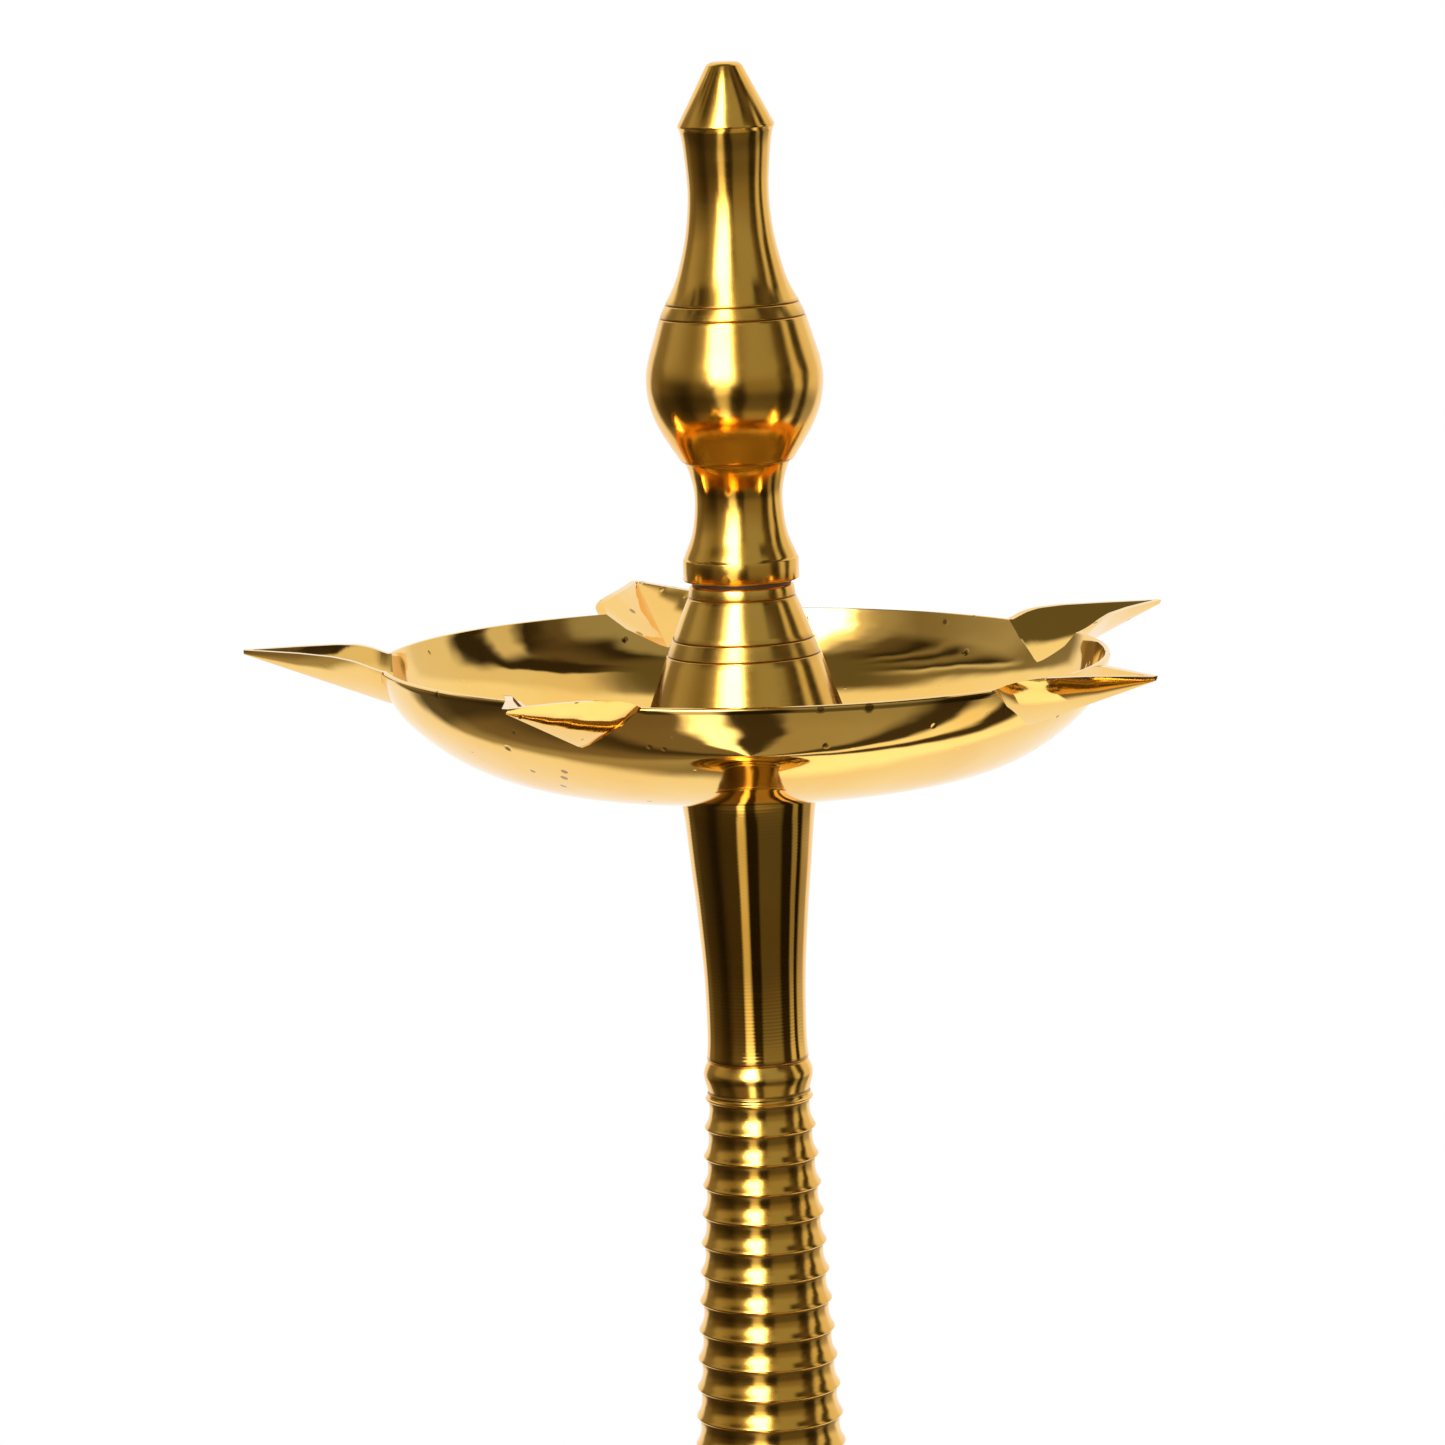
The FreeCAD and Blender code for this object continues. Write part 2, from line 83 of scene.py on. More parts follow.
class Graph:
    """A node tree with short calls for adding and joining nodes."""

    def __init__(self, tree: bpy.types.NodeTree) -> None:
        """Empties the tree and keeps it."""
        tree.nodes.clear()
        self.tree = tree

    def add(self, kind: str, **values: object) -> bpy.types.Node:
        """Adds a node.

        Args:
            kind: The node's type name without its ShaderNode prefix.
            values: Attributes of the node, or inputs where the name starts with in_.

        Returns:
            The new node.
        """
        node = self.tree.nodes.new("ShaderNode" + kind)
        for name, value in values.items():
            if name.startswith("in_"):
                node.inputs[name[3:]].default_value = value
            else:
                setattr(node, name, value)
        return node

    def join(self, source: Socket, target: Socket) -> None:
        """Joins two sockets."""
        self.tree.links.new(source, target)

    def feed(self, value: object, target: Socket) -> None:
        """Gives an input what it needs.

        Args:
            value: A socket to join, or a colour or a number to set.
            target: The input.
        """
        if isinstance(value, bpy.types.NodeSocket):
            self.join(value, target)
        elif isinstance(value, tuple):
            target.default_value = (*value, 1.0)
        else:
            target.default_value = value

    def math(self, operation: str, *terms: object) -> Socket:
        """Adds a Math node.

        Args:
            operation: The operation's name.
            terms: Up to three sockets or numbers.

        Returns:
            The result's socket.
        """
        node = self.add("Math", operation=operation)
        for target, term in zip(node.inputs, terms):
            self.feed(term, target)
        return node.outputs[0]

    def mix(self, factor: object, first: object, second: object, blend: str = "MIX") -> Socket:
        """Mixes two colours.

        Args:
            factor: A socket or a number.
            first: A socket or a colour.
            second: A socket or a colour.
            blend: The blend's name.

        Returns:
            The mixed colour's socket.
        """
        node = self.add("Mix", data_type="RGBA", blend_type=blend)
        for index, value in ((0, factor), (6, first), (7, second)):
            self.feed(value, node.inputs[index])
        return node.outputs[2]

    def ramp(self, source: Socket, stops: Stops, interpolation: str = "LINEAR") -> Socket:
        """Adds a colour ramp.

        Args:
            source: The socket that drives it.
            stops: Places from 0 to 1 with a colour each.
            interpolation: How colours run between stops.

        Returns:
            The colour's socket.
        """
        node = self.add("ValToRGB")
        node.color_ramp.interpolation = interpolation
        elements = node.color_ramp.elements
        while len(elements) > 1:
            elements.remove(elements[0])
        elements[0].position = stops[0][0]
        elements[0].color = (*stops[0][1], 1.0)
        for place, colour in stops[1:]:
            element = elements.new(place)
            element.color = (*colour, 1.0)
        self.join(source, node.inputs[0])
        return node.outputs[0]

    def noise(self, place: Socket, scale: float, detail: float, roughness: float = 0.5) -> Socket:
        """Adds a cloudy noise.

        Args:
            place: The coordinates.
            scale: How fine the noise is.
            detail: How many finer layers it has.
            roughness: How strong the finer layers are.

        Returns:
            The noise's value.
        """
        node = self.add("TexNoise", in_Scale=scale, in_Detail=detail, in_Roughness=roughness)
        self.join(place, node.inputs["Vector"])
        return node.outputs[0]

    def cells(self, place: Socket, scale: float) -> Socket:
        """Adds a pattern of scattered cells.

        Args:
            place: The coordinates.
            scale: How fine the cells are.

        Returns:
            The distance to the nearest cell's middle.
        """
        node = self.add("TexVoronoi", in_Scale=scale)
        self.join(place, node.inputs["Vector"])
        return node.outputs["Distance"]

    def split(self, vector: Socket) -> dict[str, Socket]:
        """Takes a vector apart.

        Args:
            vector: The vector's socket.

        Returns:
            The sockets of its parts, by axis.
        """
        node = self.add("SeparateXYZ")
        self.join(vector, node.inputs[0])
        return {axis: node.outputs[axis] for axis in "XYZ"}

    def fade(self, value: Socket, start: float, end: float) -> Socket:
        """Adds a smooth step.

        Args:
            value: What drives it.
            start: Where it is 0.
            end: Where it is 1.

        Returns:
            The step's socket.
        """
        node = self.add("MapRange", interpolation_type="SMOOTHSTEP")
        node.inputs["From Min"].default_value = start
        node.inputs["From Max"].default_value = end
        self.join(value, node.inputs["Value"])
        return node.outputs[0]

    def bump(self, height: Socket, strength: float, depth: float, under: Socket | None = None) -> Socket:
        """Adds a fine relief.

        Args:
            height: The relief's height.
            strength: How much of it is seen, from 0 to 1.
            depth: What a height of 1 stands for, in metres.
            under: The normal of another relief that it lies on.

        Returns:
            The normal's socket.
        """
        node = self.add("Bump", in_Strength=strength, in_Distance=depth)
        self.join(height, node.inputs["Height"])
        if under is not None:
            self.join(under, node.inputs["Normal"])
        return node.outputs[0]

    def blend(self, factor: Socket, first: Socket, second: Socket) -> Socket:
        """Mixes two shaders.

        Args:
            factor: The share of the second one.
            first: A shader's socket.
            second: A shader's socket.

        Returns:
            The mixed shader's socket.
        """
        node = self.add("MixShader")
        for source, target in zip((factor, first, second), node.inputs):
            self.join(source, target)
        return node.outputs[0]

    def surface(self, colour: Socket, roughness: Socket, normal: Socket, metallic: float) -> None:
        """Joins a surface's look to the material's output.

        Args:
            colour: The base colour.
            roughness: The roughness.
            normal: The relief's normal.
            metallic: 1 for a metal and 0 for anything else.
        """
        shader = self.add("BsdfPrincipled", in_Metallic=metallic)
        self.join(colour, shader.inputs["Base Color"])
        self.join(roughness, shader.inputs["Roughness"])
        self.join(normal, shader.inputs["Normal"])
        self.join(shader.outputs[0], self.add("OutputMaterial").inputs[0])


def start_material(name: str) -> tuple[bpy.types.Material, Graph, Socket]:
    """Starts a material.

    Args:
        name: The material's name.

    Returns:
        The material, its graph and the object coordinates in it.
    """
    material = bpy.data.materials.new(name)
    material.use_nodes = True
    graph = Graph(material.node_tree)
    return material, graph, graph.add("TexCoord").outputs["Object"]


@dataclass(frozen=True)
class BrassFinish:
    """Polished brass with lathe lines or cast waviness, oxide and painted shade in its creases and faint
    smears.
    """

    name: str
    pale: Colour = (0.95, 0.58, 0.125)
    deep: Colour = (0.91, 0.47, 0.065)
    film: Colour = (0.62, 0.36, 0.10)
    # dark brown of the creases: oxide with painted shade
    tarnish_and_shade: Colour = (0.20, 0.09, 0.02)
    roughness: float = 0.04
    least_roughness: float = 0.03
    smear: float = 0.05
    lathe_lines: float = 0.0
    tool_marks: float = 0.0
    tool_pitch: float = 1.3
    waviness: float = 0.0
    pits: float = 0.0
    worn_below: float = 0.0
    worn_fade: float = 0.012

    def colour(self, graph: Graph, place: Socket, blotch: Socket, crease: Socket) -> Socket:
        """Mixes the brass tones, a thin brown film and the creases, darkened with oxide and painted shade.

        Args:
            graph: The material's graph.
            place: The object coordinates.
            blotch: A broad noise that the tones follow.
            crease: Where grime gathers and shade is painted darker.

        Returns:
            The colour's socket.
        """
        tone = graph.mix(graph.math("MULTIPLY_ADD", blotch, 1.8, -0.4), self.deep, self.pale)
        film = graph.noise(place, scale=9.0, detail=6.0, roughness=0.7)
        spots = graph.ramp(film, ((0.58, (0.0, 0.0, 0.0)), (0.78, (0.22, 0.22, 0.22))))
        aged = graph.mix(spots, tone, self.film)
        # creases darkened towards dark brown: part oxide, part painted shade
        return graph.mix(graph.math("MULTIPLY", crease, 0.8), aged, self.tarnish_and_shade)

    def dullness(self, graph: Graph, place: Socket, height: Socket, crease: Socket) -> Socket:
        """Adds smears, dull creases and the floor of the pan, which oil has dulled.

        Args:
            graph: The material's graph.
            place: The object coordinates.
            height: The height above the ground, in metres.
            crease: Where grime gathers and shade is painted darker.

        Returns:
            The roughness's socket.
        """
        rub = graph.noise(place, scale=140.0, detail=5.0, roughness=0.65)
        rough = graph.math("MULTIPLY_ADD", rub, self.smear, self.roughness - 0.35 * self.smear)
        rough = graph.math("MULTIPLY_ADD", crease, 0.22, rough)
        if self.worn_below:
            facing = graph.split(graph.add("NewGeometry").outputs["Normal"])["Z"]
            upward = graph.math("GREATER_THAN", facing, 0.3)
            low = graph.fade(height, self.worn_below, self.worn_below - self.worn_fade)
            rough = graph.math("MULTIPLY_ADD", graph.math("MULTIPLY", upward, low), 0.25, rough)
        return rough

    def build(self) -> bpy.types.Material:
        """Makes the material.

        Returns:
            The material, which reads object coordinates and the pieces' crease attribute of grime and painted
            shade.
        """
        material, graph, place = start_material(self.name)
        height = graph.split(place)["Z"]
        crease = graph.add("Attribute", attribute_name="tarnish_and_shade").outputs["Fac"]
        blotch = graph.noise(place, scale=22.0, detail=4.0, roughness=0.6)
        colour = self.colour(graph, place, blotch, crease)
        rough = self.dullness(graph, place, height, crease)
        normal = None
        if self.lathe_lines:
            rings = graph.add("CombineXYZ")
            graph.join(height, rings.inputs["Z"])
            fine = graph.noise(rings.outputs[0], scale=2600.0, detail=2.0)
            broad = graph.noise(rings.outputs[0], scale=420.0, detail=3.0)
            lines = graph.math("MULTIPLY_ADD", broad, 1.6, fine)
            normal = graph.bump(lines, self.lathe_lines, depth=0.00004)
            streak = graph.math("MULTIPLY_ADD", broad, 0.10, -0.035)
            rough = graph.math("ADD", rough, graph.math("MAXIMUM", streak, 0.0))
        if self.tool_marks:
            turns = graph.math("MULTIPLY", height, 2.0 * math.pi / (self.tool_pitch * MM))
            patchy = graph.math("SUBTRACT", blotch, 0.3)
            marks = graph.math("MULTIPLY", graph.math("SINE", turns), patchy)
            normal = graph.bump(marks, self.tool_marks, depth=0.00002, under=normal)
        if self.waviness:
            swell = graph.noise(place, scale=26.0, detail=2.5, roughness=0.45)
            normal = graph.bump(swell, self.waviness, depth=0.004, under=normal)
        if self.pits:
            patch = graph.noise(place, scale=16.0, detail=2.0)
            reach = graph.math("MULTIPLY_ADD", patch, 0.62, -0.235)
            away = graph.math("SUBTRACT", graph.cells(place, scale=95.0), reach)
            pit = graph.math("SMOOTH_MIN", away, 0.06, 0.03)
            normal = graph.bump(pit, self.pits, depth=0.0025, under=normal)
            # pit hollows are darkened towards the same crease colour
            hole = graph.math("LESS_THAN", away, -0.004)
            colour = graph.mix(graph.math("MULTIPLY", hole, 0.75), colour, self.tarnish_and_shade)
        rough = graph.math("MAXIMUM", rough, self.least_roughness)
        graph.surface(colour, rough, normal, metallic=1.0)
        return material


@dataclass(frozen=True)
class LeatherFinish:
    """Dark oiled leather of the three rings."""

    name: str = "oiled leather"
    colour: Colour = (0.055, 0.032, 0.018)
    dry: Colour = (0.11, 0.062, 0.03)

    def build(self) -> bpy.types.Material:
        """Makes the material.

        Returns:
            The material.
        """
        material, graph, place = start_material(self.name)
        grain = graph.bump(graph.cells(place, scale=1400.0), 0.4, depth=0.0002)
        soak = graph.noise(place, scale=60.0, detail=4.0)
        colour = graph.mix(soak, self.colour, self.dry)
        graph.surface(colour, graph.math("MULTIPLY_ADD", soak, 0.3, 0.35), grain, metallic=0.0)
        return material


@dataclass(frozen=True)
class SteelFinish:
    """Plain steel of the nut and its washer."""

    name: str = "plain steel"
    colour: Colour = (0.46, 0.45, 0.44)
    rust: Colour = (0.33, 0.29, 0.25)

    def build(self) -> bpy.types.Material:
        """Makes the material.

        Returns:
            The material.
        """
        material, graph, place = start_material(self.name)
        spots = graph.noise(place, scale=240.0, detail=6.0)
        colour = graph.mix(spots, self.colour, self.rust)
        relief = graph.bump(spots, 0.25, depth=0.0002)
        graph.surface(colour, graph.math("MULTIPLY_ADD", spots, 0.3, 0.2), relief, metallic=1.0)
        return material


class Wardrobe:
    """The finishes, each made once and put on pieces by name."""

    def __init__(self) -> None:
        """Makes every finish."""
        turned = BrassFinish("turned brass", roughness=0.12, smear=0.10, lathe_lines=0.2)
        tooled = BrassFinish("tool marked brass", lathe_lines=0.12, tool_marks=0.6)
        cast = BrassFinish("cast brass", pale=(0.95, 0.64, 0.19), deep=(0.92, 0.54, 0.125), roughness=0.045,
                           smear=0.07, waviness=0.12, pits=0.35, worn_below=0.674)
        rod = BrassFinish("rod brass", roughness=0.2, smear=0.2, lathe_lines=0.6)
        self.materials = {
            Finish.TURNED: turned.build(),
            Finish.TOOLED: tooled.build(),
            Finish.CAST: cast.build(),
            Finish.ROD: rod.build(),
            Finish.STEEL: SteelFinish().build(),
            Finish.LEATHER: LeatherFinish().build(),
        }

    def dress(self, piece: Piece, finish: Finish) -> None:
        """Puts a finish on a piece in place of what it wears."""
        piece.data.materials.clear()
        piece.data.materials.append(self.materials[finish])


class Outline:
    """A turned outline in millimetres, drawn as straight runs and smooth curves."""

    def __init__(self, radius: float, height: float) -> None:
        """Starts at a radius and a height."""
        self.places: list[Place] = [(radius, height)]
        self.creases: list[Place] = []

    def line(self, *places: Place, crease: bool = False) -> "Outline":
        """Draws straight runs.

        Args:
            places: Radius and height of each end.
            crease: Whether the last one is a crease, where grime gathers and shade is painted darker.

        Returns:
            The outline itself.
        """
        self.places.extend(places)
        if crease:
            self.creases.append(places[-1])
        return self

    def flow(self, *places: Place, step: float = 1.1) -> "Outline":
        """Draws one smooth curve from here through places.

        Args:
            places: Radius and height of each point on the curve.
            step: The longest run between points of the mesh.

        Returns:
            The outline itself.
        """
        knots = np.array([self.places[-1], *places], float)
        lengths = np.concatenate([[0.0], np.cumsum(np.hypot(*np.diff(knots, axis=0).T))])
        count = len(knots)
        system = np.eye(count)
        right = np.zeros((count, 2))
        gaps = np.diff(lengths)
        for row in range(1, count - 1):
            system[row, row - 1: row + 2] = (gaps[row - 1], 2.0 * (gaps[row - 1] + gaps[row]), gaps[row])
            ahead = (knots[row + 1] - knots[row]) / gaps[row]
            behind = (knots[row] - knots[row - 1]) / gaps[row - 1]
            right[row] = 6.0 * (ahead - behind)
        bend = np.linalg.solve(system, right)
        for span in range(count - 1):
            runs = max(2, math.ceil(gaps[span] / step))
            for part in range(1, runs + 1):
                far = gaps[span] * part / runs
                near = gaps[span] - far
                spot = (bend[span] * near ** 3 + bend[span + 1] * far ** 3) / (6.0 * gaps[span])
                spot += (knots[span] / gaps[span] - bend[span] * gaps[span] / 6.0) * near
                spot += (knots[span + 1] / gaps[span] - bend[span + 1] * gaps[span] / 6.0) * far
                self.places.append((float(spot[0]), float(spot[1])))
        return self

    def bead(self, bulge: float, radius: float, height: float, runs: int = 8) -> "Outline":
        """Draws a round bead from here to a place.

        Args:
            bulge: How far it stands out at its middle.
            radius: Radius at its end.
            height: Height at its end.
            runs: Number of straight runs along it.

        Returns:
            The outline itself.
        """
        start = self.places[-1]
        for part in range(1, runs + 1):
            share = part / runs
            swell = bulge * math.sin(math.pi * share) ** 0.8
            drop = 0.5 - 0.5 * math.cos(math.pi * share)
            self.places.append((start[0] + (radius - start[0]) * share + swell,
                                start[1] + (height - start[1]) * drop))
        return self

    def groove(self, radius: float, height: float, slope: float, width: float = 0.8,
               depth: float = 0.55) -> "Outline":
        """Cuts a fine round-bottomed ring into a flank.

        Args:
            radius: Radius of the flank at the ring.
            height: Height of the ring.
            slope: How much the radius grows per unit of drop.
            width: Width of the ring.
            depth: Depth of the ring.

        Returns:
            The outline itself.
        """
        half = 0.5 * width
        self.line((radius - half * slope, height + half))
        self.line((radius - 0.8 * depth, height + 0.3 * half), (radius - depth, height), crease=True)
        self.line((radius - 0.8 * depth + 0.2 * slope, height - 0.3 * half))
        return self.line((radius + half * slope, height - half))


@dataclass
class Lathe:
    """Makes turned pieces by spinning an outline round the lamp's axis."""

    shortest_run: float = 1e-4
    bevel_angle: float = 24.0
    smooth_angle: float = 32.0
    grime_and_shade_reach: float = 0.9

    def turn(self, name: str, outline: Outline, edge: float = 0.25, sides: int = SIDES) -> Piece:
        """Turns a closed outline into a solid piece.

        Args:
            name: The piece's name.
            outline: The outline, closed back to its start by a straight run.
            edge: Width of the small rounding on every sharp edge, in millimetres.
            sides: Number of steps round the axis.

        Returns:
            The finished piece.
        """
        places = [place for index, place in enumerate(outline.places)
                  if math.dist(place, outline.places[index - 1]) > self.shortest_run]
        bpy.ops.object.select_all(action="DESELECT")
        bpy.ops.mesh.primitive_circle_add(vertices=len(places), radius=0.01)
        piece = bpy.context.object
        piece.name = name
        piece.data.name = name
        for vertex, (radius, height) in zip(piece.data.vertices, places):
            vertex.co = (max(radius, 0.0) * MM, 0.0, height * MM)
        bpy.ops.object.mode_set(mode="EDIT")
        bpy.ops.mesh.select_all(action="SELECT")
        bpy.ops.mesh.spin(steps=sides, angle=2.0 * math.pi, center=(0, 0, 0), axis=(0, 0, 1))
        bpy.ops.mesh.select_all(action="SELECT")
        bpy.ops.mesh.remove_doubles(threshold=1e-6)
        bpy.ops.mesh.dissolve_degenerate(threshold=1e-7)
        bpy.ops.mesh.select_all(action="SELECT")
        bpy.ops.mesh.delete_loose()
        bpy.ops.mesh.select_all(action="SELECT")
        bpy.ops.mesh.normals_make_consistent(inside=False)
        bpy.ops.object.mode_set(mode="OBJECT")
        if edge:
            self.finish(piece, "BEVEL", width=edge * MM, segments=2, limit_method="ANGLE",
                        angle_limit=math.radians(self.bevel_angle), use_clamp_overlap=True)
        self.smooth(piece, self.smooth_angle)
        self.age(piece, outline.creases)
        return piece

    def pick(self, piece: Piece) -> None:
        """Selects one piece alone and makes it the active one.

        Args:
            piece: The piece.
        """
        bpy.ops.object.select_all(action="DESELECT")
        piece.select_set(True)
        bpy.context.view_layer.objects.active = piece

    def finish(self, piece: Piece, kind: str, **values: object) -> None:
        """Adds a modifier to a piece and applies it.

        Args:
            piece: The piece.
            kind: The modifier's type.
            values: The modifier's settings.
        """
        self.pick(piece)
        modifier = piece.modifiers.new(kind.lower(), kind)
        for name, value in values.items():
            setattr(modifier, name, value)
        bpy.ops.object.modifier_apply(modifier=modifier.name)

    def smooth(self, piece: Piece, degrees: float) -> None:
        """Shades a piece smooth, apart from its sharp edges."""
        self.pick(piece)
        bpy.ops.object.shade_smooth_by_angle(angle=math.radians(degrees))

    def age(self, piece: Piece, creases: list[Place]) -> None:
        """Marks the creases, where grime gathers and shade is painted darker.

        Args:
            piece: The piece.
            creases: Radius and height of each crease.
        """
        mesh = piece.data
        spots = np.empty(len(mesh.vertices) * 3)
        mesh.vertices.foreach_get("co", spots)
        spots = spots.reshape(-1, 3) / MM
        radii = np.hypot(spots[:, 0], spots[:, 1])
        grime_and_shade = np.zeros(len(spots))
        for radius, height in creases:
            far = np.hypot(radii - radius, spots[:, 2] - height)
            grime_and_shade = np.maximum(grime_and_shade, np.clip(1.0 - far / self.grime_and_shade_reach, 0.0, 1.0))
        # crease mask: grime and painted shade, strongest at each crease
        layer = mesh.attributes.new("tarnish_and_shade", "FLOAT", "POINT")
        layer.data.foreach_set("value", grime_and_shade.astype(np.float32))


@dataclass
class Shop:
    """What every sub-assembly needs: the lathe, the finishes and a way to put pieces in the scene."""

    lathe: Lathe = field(default_factory=Lathe)
    wardrobe: Wardrobe = field(default_factory=Wardrobe)

    def fit(self, piece: Piece, body: str, node: str, finish: Finish) -> None:
        """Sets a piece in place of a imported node.

        Args:
            piece: The new piece.
            body: The body that it moves with.
            node: The node that it stands for.
            finish: Its finish.
        """
        self.wardrobe.dress(piece, finish)
        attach(piece, body)
        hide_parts(node)
        LOG.info("%s: %d faces, rides on %s", piece.name, len(piece.data.polygons), body)

    def keep(self, node: str, finish: Finish) -> None:
        """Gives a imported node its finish."""
        self.wardrobe.dress(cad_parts[node], finish)
        LOG.info("%s: kept as packed", node)


@dataclass
class Finial:
    """The bulb finial: a capped bottle on a short neck."""

    shop: Shop
    seat: float = 769.4
    neck_top: float = 771.8
    tip: float = 914.4
    cap: float = 22.5
    cap_radius: float = 17.3
    bulb_rise: float = 31.4
    bulb_radius: float = 31.8
    bulb_hollow: float = 25.8
    neck_hollow: float = 9.5
    stud_hole: float = 16.0
    collar_low: float = 728.7
    collar_height: float = 8.15
    collar_radius: float = 20.85
    bore: float = 6.05

    def bottle(self) -> Piece:
        """Turns the bottle with its cone cap, two cut rings and bulb.

        Returns:
            The bottle.
        """
        low = self.neck_top
        cap_low = self.tip - self.cap
        bulb = self.seat + self.bulb_rise
        end = self.seat + self.stud_hole
        outline = Outline(0.0, self.tip)
        outline.flow((2.8, self.tip - 0.08), (5.2, self.tip - 0.5), (6.5, self.tip - 1.5), step=0.7)
        outline.line((self.cap_radius - 0.05, cap_low + 0.25), (self.cap_radius, cap_low),
                     (self.cap_radius, cap_low - 0.6), (self.cap_radius - 0.55, cap_low - 1.5))
        outline.flow((16.0, cap_low - 5.0), (15.3, cap_low - 11.0), (14.5, bulb + 67.6), (14.85, bulb + 60.0),
                     (15.9, bulb + 51.6), (17.85, bulb + 43.0), (20.5, bulb + 34.6), (23.85, bulb + 28.1))
        outline.groove(24.1, bulb + 27.6, 0.47)
        outline.line((26.0, bulb + 23.3))
        outline.groove(26.2, bulb + 22.8, 0.45)
        outline.flow((29.1, bulb + 13.4), (30.95, bulb + 6.9), (self.bulb_radius, bulb), (31.2, bulb - 6.5),
                     (29.3, bulb - 13.2), (26.0, bulb - 19.8), (22.6, bulb - 25.2), (20.6, low + 0.7))
        outline.line((20.3, low + 0.35), (19.9, low), crease=True)
        outline.line((self.bore, low), (self.bore, end), (17.0, end + 1.0), (self.bulb_hollow, bulb - 6.0),
                     (self.bulb_hollow, bulb + 8.0), (self.neck_hollow, bulb + 46.0),
                     (self.neck_hollow, bulb + 70.0), (0.0, bulb + 74.0))
        return self.shop.lathe.turn("finial_bottle_polished", outline)

    def neck(self) -> Piece:
        """Turns the spool and its collar.

        Returns:
            The neck.
        """
        low = self.collar_low
        top = self.neck_top
        shoulder = low + self.collar_height
        outline = Outline(self.bore, low)
        outline.line((self.collar_radius - 0.4, low), (self.collar_radius, low + 0.4))
        outline.line((self.collar_radius, shoulder - 0.5), (20.4, shoulder))
        outline.flow((19.6, shoulder + 2.2), (18.3, shoulder + 5.2), (17.1, shoulder + 8.8),
                     (16.15, shoulder + 14.3), (15.72, shoulder + 20.5), (16.05, shoulder + 25.2),
                     (16.8, shoulder + 28.6))
        outline.flow((17.6, self.seat - 1.2), (18.8, top - 0.7), step=0.8)
        outline.line((19.3, top), crease=True)
        outline.line((self.bore, top))
        return self.shop.lathe.turn("finial_neck_polished", outline)

    def build(self) -> None:
        """Makes and places the finial."""
        self.shop.fit(self.bottle(), "bottle", "finial_bottle", Finish.TURNED)
        self.shop.fit(self.neck(), "neck", "finial_neck", Finish.TURNED)
        self.shop.keep("finial_washer", Finish.LEATHER)


